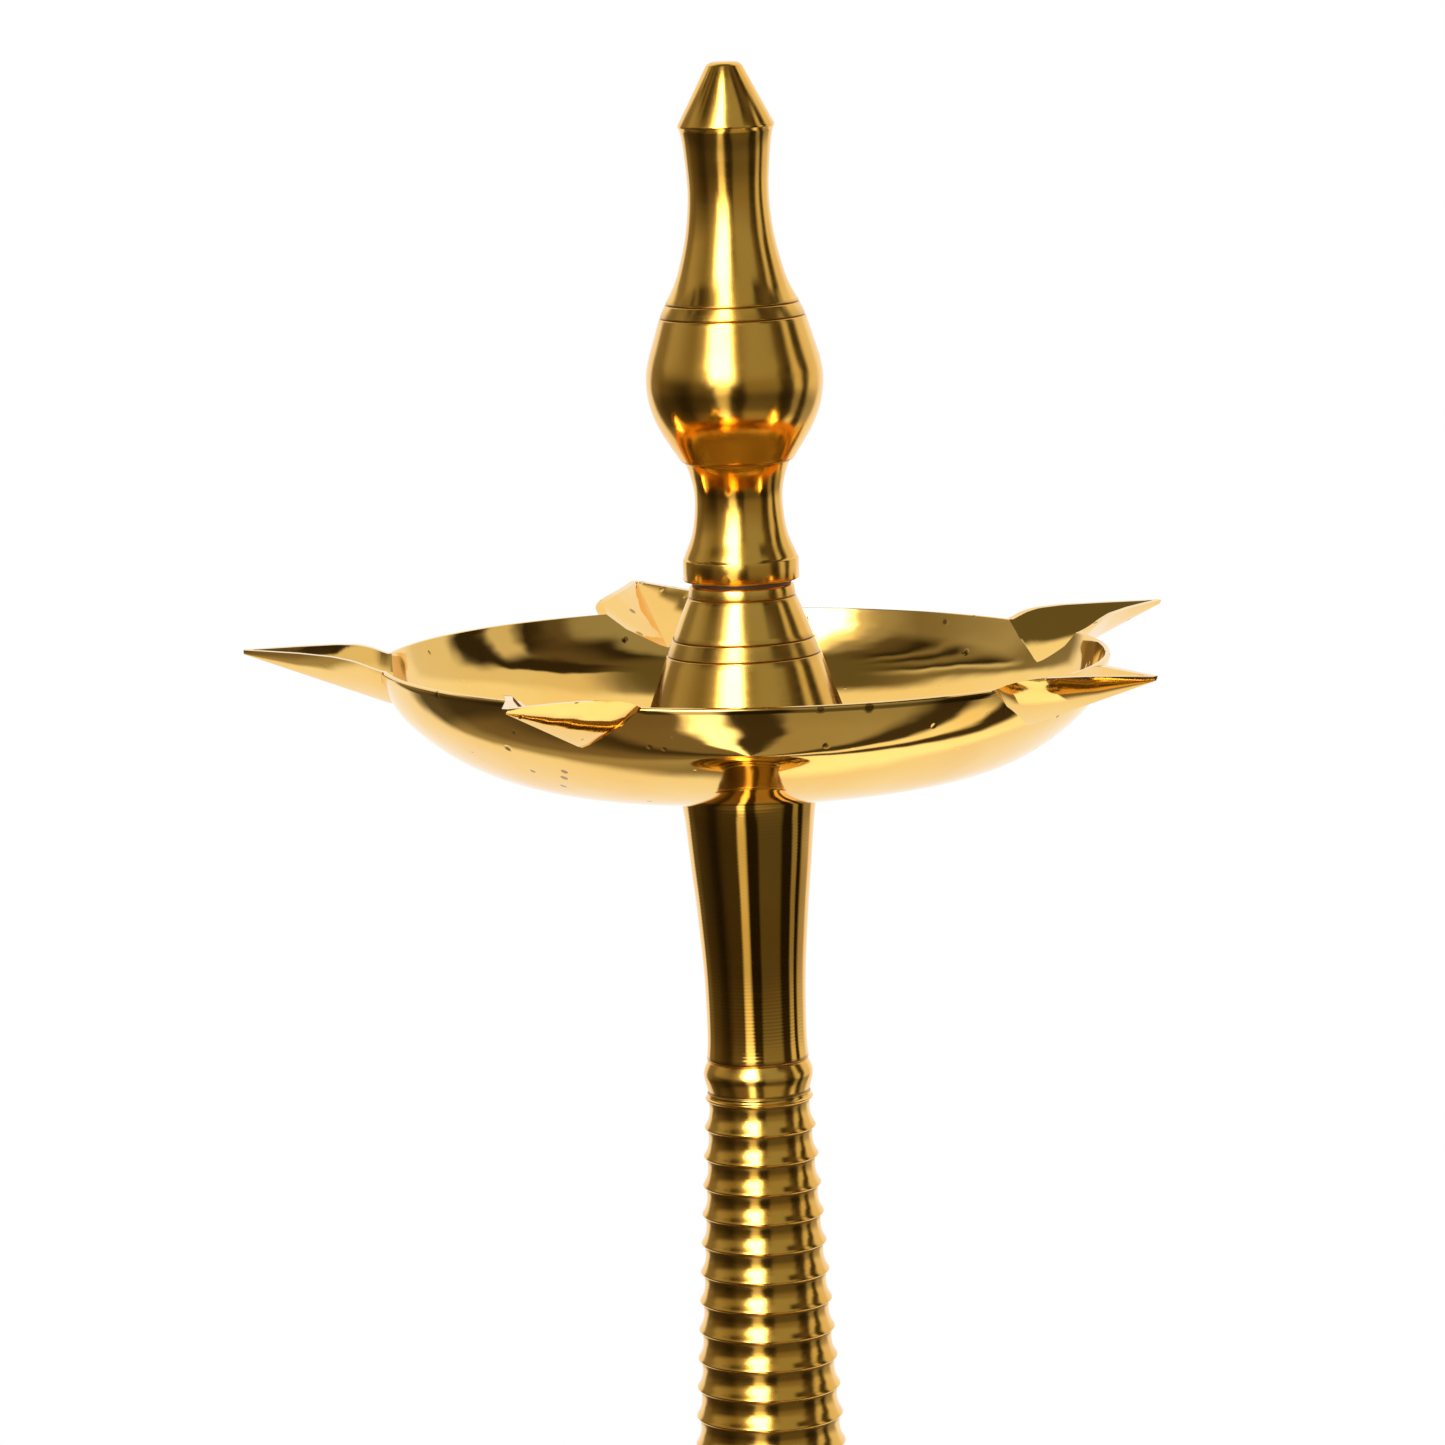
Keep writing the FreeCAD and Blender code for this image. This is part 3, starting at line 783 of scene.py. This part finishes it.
@dataclass
class Pan:
    """The oil pan with its five V-shaped spouts and the cone in its middle."""

    shop: Shop
    rim: float = 701.0
    depth: float = 46.5
    radius: float = 131.8
    wall: float = 2.2
    floor: float = 3.2
    seat_radius: float = 50.0
    stud_hole: float = 8.1
    smooth_angle: float = 30.0
    angles: tuple[float, ...] = (180.0, 103.0, 30.0, -38.5, -117.0)
    reach: float = 179.95
    half_width: float = 25.0
    keel_depth: float = 14.5
    rise: float = 5.5
    trough_end: float = 0.93
    slices: int = 36
    tip_depth: float = 1.6
    web: float = 0.3
    overcut: float = 6.0
    spout_wall: float = 2.2
    lean: float = 0.0157
    lean_from: float = 55.0
    lean_to: float = 105.0
    hub_top: float = 727.0
    gasket: float = 0.8
    bore: float = 8.05
    small_bore: float = 6.05
    profile: tuple[Place, ...] = ((7.0, 130.0), (15.7, 125.6), (23.8, 117.8), (31.6, 107.3), (38.2, 93.7),
                                  (42.2, 79.0), (44.6, 64.0))
    leaf: tuple[Point, ...] = ((-0.30, 1.25, -0.3), (0.0, 1.02, 0.0), (0.06, 1.03, 0.2), (0.12, 1.01, 0.43),
                               (0.2, 0.93, 0.65), (0.35, 0.72, 0.84), (0.6, 0.43, 0.94), (0.85, 0.19, 0.98),
                               (1.0, 0.05, 1.0))
    section: tuple[Place, ...] = ((-1.0, 0.0), (-0.68, 0.45), (-0.36, 0.74), (-0.13, 0.93), (0.0, 1.0),
                                  (0.13, 0.93), (0.36, 0.74), (0.68, 0.45), (1.0, 0.0))

    def outer(self) -> Piece:
        """Turns the bowl's outer form as a full body.

        Returns:
            The full body.
        """
        outline = Outline(0.0, self.rim)
        outline.line((self.radius - 1.1, self.rim), (self.radius - 0.5, self.rim - 0.14),
                     (self.radius - 0.14, self.rim - 0.5), (self.radius, self.rim - 1.1))
        outline.flow(*[(radius, self.rim - drop) for drop, radius in self.profile],
                     (self.seat_radius, self.rim - self.depth), step=1.6)
        outline.line((0.0, self.rim - self.depth))
        return self.shop.lathe.turn("pan_outer", outline, edge=0.0, sides=WIDE_SIDES)

    def hollow(self) -> Piece:
        """Turns the hollow of the bowl as a full body.

        Returns:
            The body to cut away.
        """
        over = self.rim + 12.0
        outline = Outline(0.0, over)
        top = self.radius - self.wall
        outline.line((top + 0.7, over), (top + 0.7, self.rim + 0.2), (top + 0.2, self.rim - 0.2),
                     (top, self.rim - 0.8))
        places = []
        for drop, radius in self.profile:
            share = drop / self.depth
            inner = radius - self.wall * (1.0 - 0.35 * share)
            places.append((inner, self.rim - drop + self.floor * share ** 3))
        outline.flow(*places, (self.seat_radius, self.rim - self.depth + self.floor), step=1.6)
        outline.line((0.0, self.rim - self.depth + self.floor))
        return self.shop.lathe.turn("pan_hollow", outline, edge=0.0, sides=WIDE_SIDES)

    def leaf_at(self, along: float) -> tuple[float, float]:
        """Gives a spout's half width and the rise of its edges.

        Args:
            along: 0 at the rim and 1 at the tip.

        Returns:
            The half width as a share of the widest, and the rise as a share of the tip's.
        """
        places = [place[0] for place in self.leaf]
        wide = float(np.interp(along, places, [place[1] for place in self.leaf]))
        lift = float(np.interp(along, places, [place[2] for place in self.leaf]))
        return wide, lift

    def spout(self, name: str, wall: float) -> Piece:
        """Lofts one spout along the x axis as a full body, or with wall the trough in it.

        Args:
            name: The piece's name.
            wall: Thickness of the spout's wall, or 0 for its outer form.

        Returns:
            The piece, in metres.
        """
        root = math.sqrt(self.radius ** 2 - self.half_width ** 2)
        run = self.reach - root
        stations = np.linspace(self.leaf[0][0], self.trough_end if wall else 1.0, self.slices)
        count = len(self.section)
        bpy.ops.object.select_all(action="DESELECT")
        bpy.ops.mesh.primitive_circle_add(vertices=count, radius=MM, fill_type="NGON")
        piece = bpy.context.object
        piece.name = name
        corners = [vertex.co.copy() for vertex in piece.data.vertices]
        bpy.ops.object.mode_set(mode="EDIT")
        bpy.ops.mesh.select_all(action="SELECT")
        for _ in stations[1:]:
            bpy.ops.mesh.extrude_region_move(TRANSFORM_OT_translate={"value": (0.0, 0.0, MM)})
        bpy.ops.object.mode_set(mode="OBJECT")
        for vertex in piece.data.vertices:
            along = float(stations[round(vertex.co.z / MM)])
            flat = Vector((vertex.co.x, vertex.co.y, 0.0))
            corner = min(range(count), key=lambda index: (corners[index] - flat).length)
            side, height = self.spout_corner(along, corner, wall)
            vertex.co = Vector((root + run * along, side, height)) * MM
        bpy.ops.object.mode_set(mode="EDIT")
        bpy.ops.mesh.select_all(action="SELECT")
        bpy.ops.mesh.normals_make_consistent(inside=False)
        bpy.ops.object.mode_set(mode="OBJECT")
        return piece

    def spout_corner(self, along: float, corner: int, wall: float) -> Place:
        """Gives one corner of a spout's section.

        Args:
            along: 0 at the rim and 1 at the tip.
            corner: The corner's index in the section.
            wall: Thickness of the wall, or 0 for the outer form.

        Returns:
            How far the corner is to the side, and its height.
        """
        wide, lift = self.leaf_at(along)
        half = self.half_width * wide
        edge = self.rim + self.rise * lift
        keel = self.rim - self.keel_depth * (1.0 - along) + (self.rise - self.tip_depth) * max(along, 0.0)
        out, down = self.section[corner]
        if not wall:
            return out * half, edge - down * (edge - keel)
        high = edge - keel
        steep = math.atan2(self.section[1][1] * high, (1.0 - abs(self.section[1][0])) * half)
        slack = math.atan2((1.0 - self.section[2][1]) * high, abs(self.section[2][0]) * half)
        thick = wall / math.sin(steep)
        half = half - thick if half > 1.6 * thick else 0.25 * half
        keel = min(keel + wall / math.cos(slack), edge - self.web)
        if down > 0.0:
            return out * half, edge - down * (edge - keel)
        flare = (1.0 - abs(self.section[1][0])) * half / (self.section[1][1] * (edge - keel))
        return out * (half + self.overcut * flare), edge + self.overcut

    def merge(self, piece: Piece, tool: Piece, operation: str) -> None:
        """Joins a tool body to a piece or cuts it away, and drops the tool."""
        self.shop.lathe.finish(piece, "BOOLEAN", operation=operation, object=tool, solver="EXACT")
        bpy.data.objects.remove(tool)

    def bowl(self) -> Piece:
        """Casts the pan: bowl and spouts joined, hollowed and trimmed.

        Returns:
            The pan.
        """
        lathe = self.shop.lathe
        piece = self.outer()
        for angle in self.angles:
            spout = self.spout("spout", 0.0)
            spout.data.transform(Matrix.Rotation(math.radians(angle), 4, "Z"))
            self.merge(piece, spout, "UNION")
        self.merge(piece, self.hollow(), "DIFFERENCE")
        for angle in self.angles:
            trough = self.spout("trough", self.spout_wall)
            trough.data.transform(Matrix.Rotation(math.radians(angle), 4, "Z"))
            self.merge(piece, trough, "DIFFERENCE")
        under = self.rim - self.depth - 2.0
        above = self.rim - 30.0
        hole = Outline(0.0, under)
        hole.line((self.stud_hole, under), (self.stud_hole, above), (0.0, above))
        self.merge(piece, lathe.turn("pan_hole", hole, edge=0.0, sides=64), "DIFFERENCE")
        piece.name = "oil_pan_cast"
        piece.data.name = "oil_pan_cast"
        self.settle(piece)
        lathe.smooth(piece, self.smooth_angle)
        return piece

    def settle(self, piece: Piece) -> None:
        """Leans the rim a little to one side, as the casting does, with its seat left flat.

        Args:
            piece: The pan.
        """
        for vertex in piece.data.vertices:
            x, y, z = vertex.co / MM
            share = (math.hypot(x, y) - self.lean_from) / (self.lean_to - self.lean_from)
            share = min(max(share, 0.0), 1.0)
            vertex.co.z = (z - self.lean * x * share * share * (3.0 - 2.0 * share)) * MM

    def cone(self) -> Piece:
        """Turns the hollow cone with its two cut rings.

        Returns:
            The cone.
        """
        top = self.hub_top
        low = self.rim - self.depth + self.floor + self.gasket
        boss = self.rim - 13.0
        outline = Outline(self.small_bore, top)
        outline.line((18.3, top), (18.8, top - 0.5), (19.3, top - 3.8), (18.9, top - 4.3), crease=True)
        outline.line((19.55, top - 4.7))
        outline.flow((21.2, top - 8.5), (23.3, self.rim + 12.4), (25.45, self.rim + 7.0), step=2.0)
        outline.groove(25.6, self.rim + 6.6, 0.4)
        outline.line((27.6, self.rim + 1.4))
        outline.groove(27.8, self.rim + 0.9, 0.38)
        outline.flow((30.6, self.rim - 7.0), (34.0, self.rim - 16.4), (38.5, self.rim - 28.6),
                     (42.4, low + 1.6), step=3.0)
        outline.line((43.0, low + 0.8), (43.0, low), (39.0, low), (20.0, boss), (self.bore, boss),
                     (self.bore, self.rim + 8.0), (self.small_bore, self.rim + 9.0))
        return self.shop.lathe.turn("pan_cone_polished", outline)

    def build(self) -> None:
        """Makes and places the pan and its cone."""
        pan = self.bowl()
        self.shop.lathe.age(pan, [])
        self.shop.fit(pan, "pan", "oil_pan", Finish.CAST)
        self.shop.fit(self.cone(), "cone", "pan_cone", Finish.TURNED)
        self.shop.keep("cone_gasket", Finish.LEATHER)
        self.shop.keep("pan_washer", Finish.LEATHER)


@dataclass
class Stems:
    """The smooth upper stem, the ribbed stem and the knop below it."""

    shop: Shop
    upper_low: float = 553.0
    upper_top: float = 653.0
    ribbed_low: float = 300.0
    knop_low: float = 158.0
    knop_rise: float = 76.0
    knop_radius: float = 44.0
    knop_hollow: float = 32.0
    bore: float = 8.05
    stud_hole: float = 21.0
    hollow: float = 13.0
    hollow_end: float = 24.0
    wide_hollow: float = 20.0
    wide_hollow_end: float = 25.0
    bead_drop: float = 11.9
    rib_drop: float = 14.0
    rib_pitch: float = 10.75
    rib_count: int = 22
    rib_first: float = 19.6
    rib_growth: float = 0.65
    rib_step: float = 1.3

    def upper(self) -> Piece:
        """Turns the smooth flared stem.

        Returns:
            The upper stem.
        """
        low = self.upper_low
        top = self.upper_top
        outline = Outline(self.bore, low)
        outline.line((18.0, low), (18.5, low + 0.8), crease=True)
        outline.flow((18.15, low + 5.0), (18.0, low + 12.0), (18.12, low + 22.0), (18.5, low + 32.7),
                     (19.55, low + 47.5), (20.5, low + 58.5), (21.6, low + 69.5), (22.95, low + 84.2),
                     (24.2, low + 94.0), (25.4, top - 0.6), step=1.6)
        outline.line((24.8, top), (self.bore, top), (self.bore, top - self.stud_hole),
                     (self.hollow, top - self.hollow_end), (self.hollow, low + self.hollow_end),
                     (self.bore, low + self.stud_hole))
        return self.shop.lathe.turn("upper_stem_polished", outline)

    def ribbed(self) -> Piece:
        """Turns the ribbed stem: a bead, then ribs that flare downwards one below the other.

        Returns:
            The ribbed stem.
        """
        low = self.ribbed_low
        top = self.upper_low
        outline = Outline(self.bore, top)
        outline.line((18.2, top))
        outline.flow((19.2, top - 2.2), (19.8, top - 4.9), (19.3, top - 8.0), (18.45, top - 11.1), step=0.7)
        outline.line((18.4, top - 11.4), crease=True)
        start = (18.85, top - self.bead_drop)
        for index in range(self.rib_count):
            lip = top - self.rib_drop - self.rib_pitch * index
            radius = self.rib_first + self.rib_growth * index
            outline.line(start)
            height = start[1] - lip
            flare = radius - start[0]
            outline.flow((start[0] - 0.05 * flare, lip + 0.66 * height),
                         (start[0] + 0.30 * flare, lip + 0.30 * height), (radius - 0.08, lip + 0.4), step=1.2)
            outline.line((radius, lip), (radius - 0.25, lip - 0.45))
            outline.line((radius - self.rib_step, lip - 0.95), crease=True)
            start = (radius - self.rib_step + 0.02, lip - 1.5)
        last = self.rib_first + self.rib_growth * self.rib_count
        outline.line(start, (last, low + 0.6), (last - 0.6, low), (self.bore, low),
                     (self.bore, low + self.stud_hole), (last - 8.0, low + 33.0),
                     (self.hollow, top - self.hollow_end), (self.bore, top - self.stud_hole))
        return self.shop.lathe.turn("ribbed_stem_polished", outline, edge=0.14)

    def knop(self) -> Piece:
        """Turns the lower stem with its round knop.

        Returns:
            The lower stem.
        """
        low = self.knop_low
        top = self.ribbed_low
        knop = low + self.knop_rise
        outline = Outline(self.bore, low)
        outline.line((37.4, low)).bead(1.2, 37.4, low + 7.0)
        outline.line((34.0, low + 7.8), crease=True)
        outline.flow((29.6, low + 12.0), (27.2, low + 18.5), (27.0, low + 24.0), (27.9, low + 30.0),
                     (30.0, low + 36.0), step=1.6)
        outline.line((33.0, low + 36.6)).bead(1.2, 33.0, low + 41.4)
        outline.line((29.5, low + 42.0), crease=True)
        outline.flow((37.6, knop - 24.0), (42.5, knop - 12.5), (self.knop_radius, knop), (42.5, knop + 12.5),
                     (37.6, knop + 24.0), (29.5, knop + 34.0), step=2.0)
        outline.line((33.0, knop + 34.6)).bead(1.2, 33.0, knop + 39.4)
        outline.line((29.5, knop + 40.0), crease=True)
        outline.flow((28.7, knop + 45.0), (29.2, top - 18.0), (31.0, top - 12.0), (33.8, top - 8.0), step=1.4)
        outline.line((34.8, top - 7.2)).bead(1.1, 34.8, top - 0.5)
        outline.line((34.2, top), crease=True)
        outline.line((self.bore, top), (self.bore, top - self.stud_hole),
                     (self.wide_hollow, top - self.wide_hollow_end), (self.wide_hollow, knop + 26.0),
                     (self.knop_hollow, knop + 10.0), (self.knop_hollow, knop - 10.0),
                     (self.wide_hollow, knop - 26.0), (self.wide_hollow, low + self.wide_hollow_end),
                     (self.bore, low + self.stud_hole))
        return self.shop.lathe.turn("lower_stem_polished", outline)

    def build(self) -> None:
        """Makes and places the three stem sections."""
        self.shop.fit(self.upper(), "upper", "upper_stem", Finish.TOOLED)
        self.shop.fit(self.ribbed(), "ribbed", "ribbed_stem", Finish.TURNED)
        self.shop.fit(self.knop(), "base", "lower_stem", Finish.TURNED)


@dataclass
class Foot:
    """The stepped bell foot."""

    shop: Shop
    top: float = 158.0
    radius: float = 125.0
    crown: float = 9.0
    stud_hole: float = 8.1
    crown_hollow: float = 31.0

    def bell(self) -> Piece:
        """Turns the hollow foot.

        Returns:
            The foot.
        """
        top = self.top
        outline = Outline(self.stud_hole, top)
        outline.line((40.0, top)).bead(1.6, 40.0, top - 7.0)
        outline.line((36.5, top - 8.0), crease=True)
        outline.flow((36.2, top - 14.0), (38.0, top - 26.0), (42.5, top - 38.0), (50.0, top - 50.5),
                     (58.0, top - 61.0), (64.0, top - 66.0), step=2.0)
        outline.line((67.0, top - 66.5)).bead(2.8, 67.5, top - 74.0)
        outline.line((71.0, top - 75.0), crease=True)
        outline.flow((80.5, 79.5), (90.0, 72.5), (97.5, 62.5), (101.8, 52.0), (103.0, 42.0), step=2.2)
        outline.line((107.0, 41.4), crease=True).bead(1.8, 107.5, 35.4)
        outline.flow((112.0, 31.6), (117.2, 25.0), (120.6, 18.5), (122.0, 13.0), step=2.2)
        outline.line((self.radius - 1.0, 12.4), (self.radius, 11.4), (self.radius, 1.0),
                     (self.radius - 1.0, 0.0), (self.radius - 11.0, 0.0), (self.radius - 11.0, 14.0),
                     (101.0, 33.0), (93.5, 56.0), (82.0, 70.0), (64.0, top - 80.0), (42.0, top - 54.0),
                     (self.crown_hollow, top - 28.0), (self.crown_hollow, top - self.crown),
                     (self.stud_hole, top - self.crown))
        return self.shop.lathe.turn("base_bell_polished", outline, sides=WIDE_SIDES)

    def build(self) -> None:
        """Makes and places the foot, and finishes the nut and washer under it."""
        self.shop.fit(self.bell(), "base", "base_bell", Finish.TURNED)
        self.shop.keep("base_washer", Finish.STEEL)
        self.shop.keep("base_nut", Finish.STEEL)


@dataclass(frozen=True)
class Stud:
    """One threaded stud."""

    node: str
    body: str
    radius: float
    low: float
    high: float
    pitch: float = 2.5
    thread: float = 1.1
    chamfer: float = 1.2
    rows_in_turn: int = 8
    smooth_angle: float = 60.0

    def build(self, shop: Shop) -> None:
        """Cuts the thread and places the stud.

        Args:
            shop: The shop that turns and finishes it.
        """
        outline = Outline(0.0, self.low)
        outline.line((self.radius - self.chamfer, self.low), (self.radius, self.low + self.chamfer))
        run = self.high - self.low - 2.0 * self.chamfer
        rows = round(run / (self.pitch / self.rows_in_turn))
        for row in range(1, rows + 1):
            outline.line((self.radius, self.low + self.chamfer + run * row / rows))
        outline.line((self.radius - self.chamfer, self.high), (0.0, self.high))
        piece = shop.lathe.turn(self.node + "_threaded", outline, edge=0.0, sides=48)
        for vertex in piece.data.vertices:
            x, y, z = vertex.co / MM
            if math.hypot(x, y) < self.radius - 0.2:
                continue
            turn = z / self.pitch - math.atan2(y, x) / (2.0 * math.pi)
            depth = self.thread * (0.5 - 0.5 * math.cos(2.0 * math.pi * turn))
            share = (self.radius - depth) / self.radius
            vertex.co = Vector((x * share, y * share, z)) * MM
        shop.lathe.smooth(piece, self.smooth_angle)
        shop.fit(piece, self.body, self.node, Finish.ROD)


@dataclass
class Studio:
    """The camera, the pale floor and the light."""

    distance: float = 2.440
    height: float = 1.0396
    aside: float = -0.0086
    pitch: float = 8.457
    roll: float = -2.0
    lens: float = 170.41
    floor_radius: float = 1.36
    floor_fade: float = 0.45
    floor_colour: Colour = (0.80, 0.785, 0.76)
    soft_lamps: tuple[tuple[str, Point, float, float], ...] = (
        ("key", (-1.1, -2.3, 2.4), 1.2, 34.0),
        ("fill", (2.2, -0.8, 1.8), 1.4, 14.0))
    lamps_aim: Point = (0.0, 0.0, 0.45)
    glow: float = 8.0
    even_light: Colour = (1.0, 0.98, 0.95)
    even_strength: float = 0.72
    backdrop: Colour = (1.0, 0.99, 0.96)
    ceiling: Colour = (0.13, 0.115, 0.065)
    backdrop_edge: tuple[Place, ...] = ((-1.0, 0.36), (-0.91, 0.40), (-0.15, 0.78), (0.2, 0.76), (0.6, 0.5),
                                        (1.0, 0.3))
    low_fade: tuple[Place, ...] = ((-0.80, 1.7), (-0.60, 1.5), (-0.48, 0.5), (-0.30, 0.4), (-0.10, 1.0))
    low_band: Stops = (
        (-180.0, DIM), (-130.0, MEDIUM), (-110.0, DIM), (-70.0, DARK), (-50.0, DIM), (-27.0, DIM),
        (-19.0, LINE), (-14.0, LINE), (-5.0, DARK), (10.0, DARK), (17.0, MEDIUM), (56.0, MEDIUM),
        (67.0, DARK), (80.0, DARK), (86.0, AMBER), (94.0, AMBER), (100.0, DARK), (108.0, DARK),
        (117.0, PALE), (180.0, PALE))
    high_band: Stops = (
        (-180.0, GOLD), (-118.0, MEDIUM), (-100.0, GOLD), (-62.0, MEDIUM), (-47.0, GOLD), (-38.0, PALE),
        (-29.0, KEY), (-8.0, KEY), (3.0, AMBER), (10.0, MEDIUM), (22.0, OLIVE), (54.0, OLIVE), (66.0, DIM),
        (80.0, DARK), (86.0, AMBER), (94.0, AMBER), (101.0, DARK), (108.0, DARK), (118.0, PALE),
        (180.0, PALE))
    top_band: Stops = (
        (-180.0, DIM), (-124.0, MEDIUM), (-117.0, AMBER), (-111.0, DARK), (-98.0, MEDIUM), (-90.0, DARK),
        (-80.0, MEDIUM), (-72.0, DARK), (-58.0, DIM), (-46.0, GOLD), (-33.0, LINE), (-25.0, KEY), (-9.0, KEY),
        (1.0, AMBER), (10.0, OLIVE), (44.0, OLIVE), (56.0, DARK), (82.0, DIM), (90.0, DARK), (104.0, DARK),
        (108.0, PALE), (180.0, PALE))

    def camera(self) -> None:
        """Sets the camera at the photograph's angle."""
        data = bpy.data.cameras.new("camera")
        data.lens = self.lens
        data.sensor_width = 36.0
        camera = bpy.data.objects.new("camera", data)
        bpy.context.scene.collection.objects.link(camera)
        tilt = Matrix.Rotation(math.radians(90.0 - self.pitch), 4, "X")
        roll = Matrix.Rotation(math.radians(self.roll), 4, "Z")
        camera.matrix_world = Matrix.Translation((self.aside, -self.distance, self.height)) @ tilt @ roll
        bpy.context.scene.camera = camera

    def floor(self) -> None:
        """Lays a round pale floor that fades out towards its edge."""
        bpy.ops.object.select_all(action="DESELECT")
        bpy.ops.mesh.primitive_circle_add(vertices=128, radius=self.floor_radius, fill_type="NGON",
                                          location=(0, 0, -0.0002))
        floor = bpy.context.object
        floor.name = "floor"
        material, graph, place = start_material("pale floor")
        length = graph.add("VectorMath", operation="LENGTH")
        graph.join(place, length.inputs[0])
        edge = graph.fade(length.outputs["Value"], self.floor_fade, self.floor_radius * 0.98)
        matt = graph.add("BsdfDiffuse", in_Color=(*self.floor_colour, 1.0))
        clear = graph.add("BsdfTransparent")
        look = graph.blend(edge, matt.outputs[0], clear.outputs[0])
        graph.join(look, graph.add("OutputMaterial").inputs[0])
        floor.data.materials.append(material)
        floor.visible_glossy = False

    def band(self, graph: Graph, bearing: Socket, stops: Stops) -> Socket:
        """Paints a band of the room round the lamp.

        Args:
            graph: The world's node tree.
            bearing: The share of the way round, from behind by the left, 0.5 at the camera.
            stops: Bearings in degrees from the camera, positive to the right, with a colour each.

        Returns:
            The band's colour.
        """
        shares = tuple(((angle + 180.0) / 360.0, self.dim(colour)) for angle, colour in stops)
        return graph.ramp(bearing, shares, "EASE")

    def climb(self, graph: Graph, height: Socket, places: tuple[Place, ...], interpolation: str) -> Socket:
        """Makes a value that follows the height of a ray.

        Args:
            graph: The world's node tree.
            height: The ray's height, from -1 straight down to 1 straight up.
            places: Heights with a value each.
            interpolation: How the value runs between them.

        Returns:
            The value as a grey.
        """
        stops = tuple(((level + 1.0) / 2.0, (value, value, value)) for level, value in places)
        return graph.ramp(graph.math("MULTIPLY_ADD", height, 0.5, 0.5), stops, interpolation)

    def dim(self, colour: Colour) -> Colour:
        """Gives a light as a share of the glow."""
        return tuple(part / self.glow for part in colour)

    def room(self, graph: Graph) -> Socket:
        """Paints what polished metal sees: a white backdrop, a dim room and a tall soft box.

        Args:
            graph: The world's node tree.

        Returns:
            The room's colour, as a share of the glow.
        """
        way = graph.add("TexCoord").outputs["Generated"]
        ray = graph.split(way)
        uneven = graph.noise(way, scale=2.6, detail=2.0)
        behind = graph.math("MULTIPLY", ray["Y"], -1.0)
        bearing = graph.math("ARCTAN2", ray["X"], behind)
        share = graph.math("MULTIPLY_ADD", bearing, 0.5 / math.pi, 0.5)
        share = graph.math("ADD", share, graph.math("MULTIPLY_ADD", uneven, 0.05, -0.025))
        shade = self.climb(graph, ray["Z"], self.low_fade, "EASE")
        low = graph.mix(1.0, self.band(graph, share, self.low_band), shade, "MULTIPLY")
        high = self.band(graph, share, self.high_band)
        walls = graph.mix(graph.fade(ray["Z"], start=-0.08, end=0.24), low, high)
        top = self.band(graph, share, self.top_band)
        walls = graph.mix(graph.fade(ray["Z"], start=0.42, end=0.62), walls, top)
        walls = graph.mix(graph.fade(ray["Z"], start=0.84, end=0.95), walls, self.dim(self.ceiling))
        edge = self.climb(graph, ray["Z"], self.backdrop_edge, "LINEAR")
        over = graph.math("SUBTRACT", ray["Y"], edge)
        return graph.mix(graph.fade(over, start=-0.06, end=0.04), walls, self.dim(self.backdrop))

    def world(self) -> None:
        """Lights the scene: the room for shiny metal, white for the camera, an even light for the rest."""
        world = bpy.data.worlds.new("studio")
        bpy.context.scene.world = world
        world.use_nodes = True
        graph = Graph(world.node_tree)
        shiny = graph.add("Background", in_Strength=self.glow)
        graph.join(self.room(graph), shiny.inputs["Color"])
        plain = graph.add("Background", in_Color=(*self.even_light, 1.0), in_Strength=self.even_strength)
        white = graph.add("Background", in_Color=(1.0, 1.0, 1.0, 1.0), in_Strength=1.0)
        path = graph.add("LightPath").outputs
        light = graph.blend(path["Is Glossy Ray"], plain.outputs[0], shiny.outputs[0])
        seen = graph.math("MAXIMUM", path["Is Camera Ray"], path["Is Transmission Ray"])
        whole = graph.blend(seen, light, white.outputs[0])
        graph.join(whole, graph.add("OutputWorld").inputs[0])

    def lamps(self) -> None:
        """Hangs two soft lamps that shade the floor."""
        for name, spot, size, power in self.soft_lamps:
            data = bpy.data.lights.new(name, "AREA")
            data.shape = "DISK"
            data.size = size
            data.energy = power
            lamp = bpy.data.objects.new(name, data)
            bpy.context.scene.collection.objects.link(lamp)
            lamp.location = spot
            aim = Vector(self.lamps_aim) - Vector(spot)
            lamp.rotation_euler = aim.to_track_quat("-Z", "Y").to_euler()
            lamp.visible_glossy = False

    def build(self) -> None:
        """Sets up the studio."""
        bpy.context.scene.view_settings.view_transform = "Standard"
        self.camera()
        self.floor()
        self.world()
        self.lamps()


def main() -> None:
    """Builds the lamp from the top down, then the studio, and notes the sizes."""
    logging.basicConfig(level=logging.INFO, format="%(message)s")
    shop = Shop()
    for assembly in (Finial(shop), Pan(shop), Stems(shop), Foot(shop)):
        assembly.build()
    for stud in (Stud("bottle_stud", "bottle_joint", 6.0, 754.4, 784.4),
                 Stud("finial_stud", "finial_joint", 6.0, 713.7, 743.7),
                 Stud("pan_stud", "pan_joint", 8.0, 634.5, 708.0),
                 Stud("upper_stud", "upper_joint", 8.0, 533.0, 573.0),
                 Stud("ribbed_stud", "ribbed_joint", 8.0, 280.0, 320.0),
                 Stud("base_stud", "base", 8.0, 120.5, 178.0)):
        stud.build(shop)
    Studio().build()


if __name__ == "__main__":
    main()
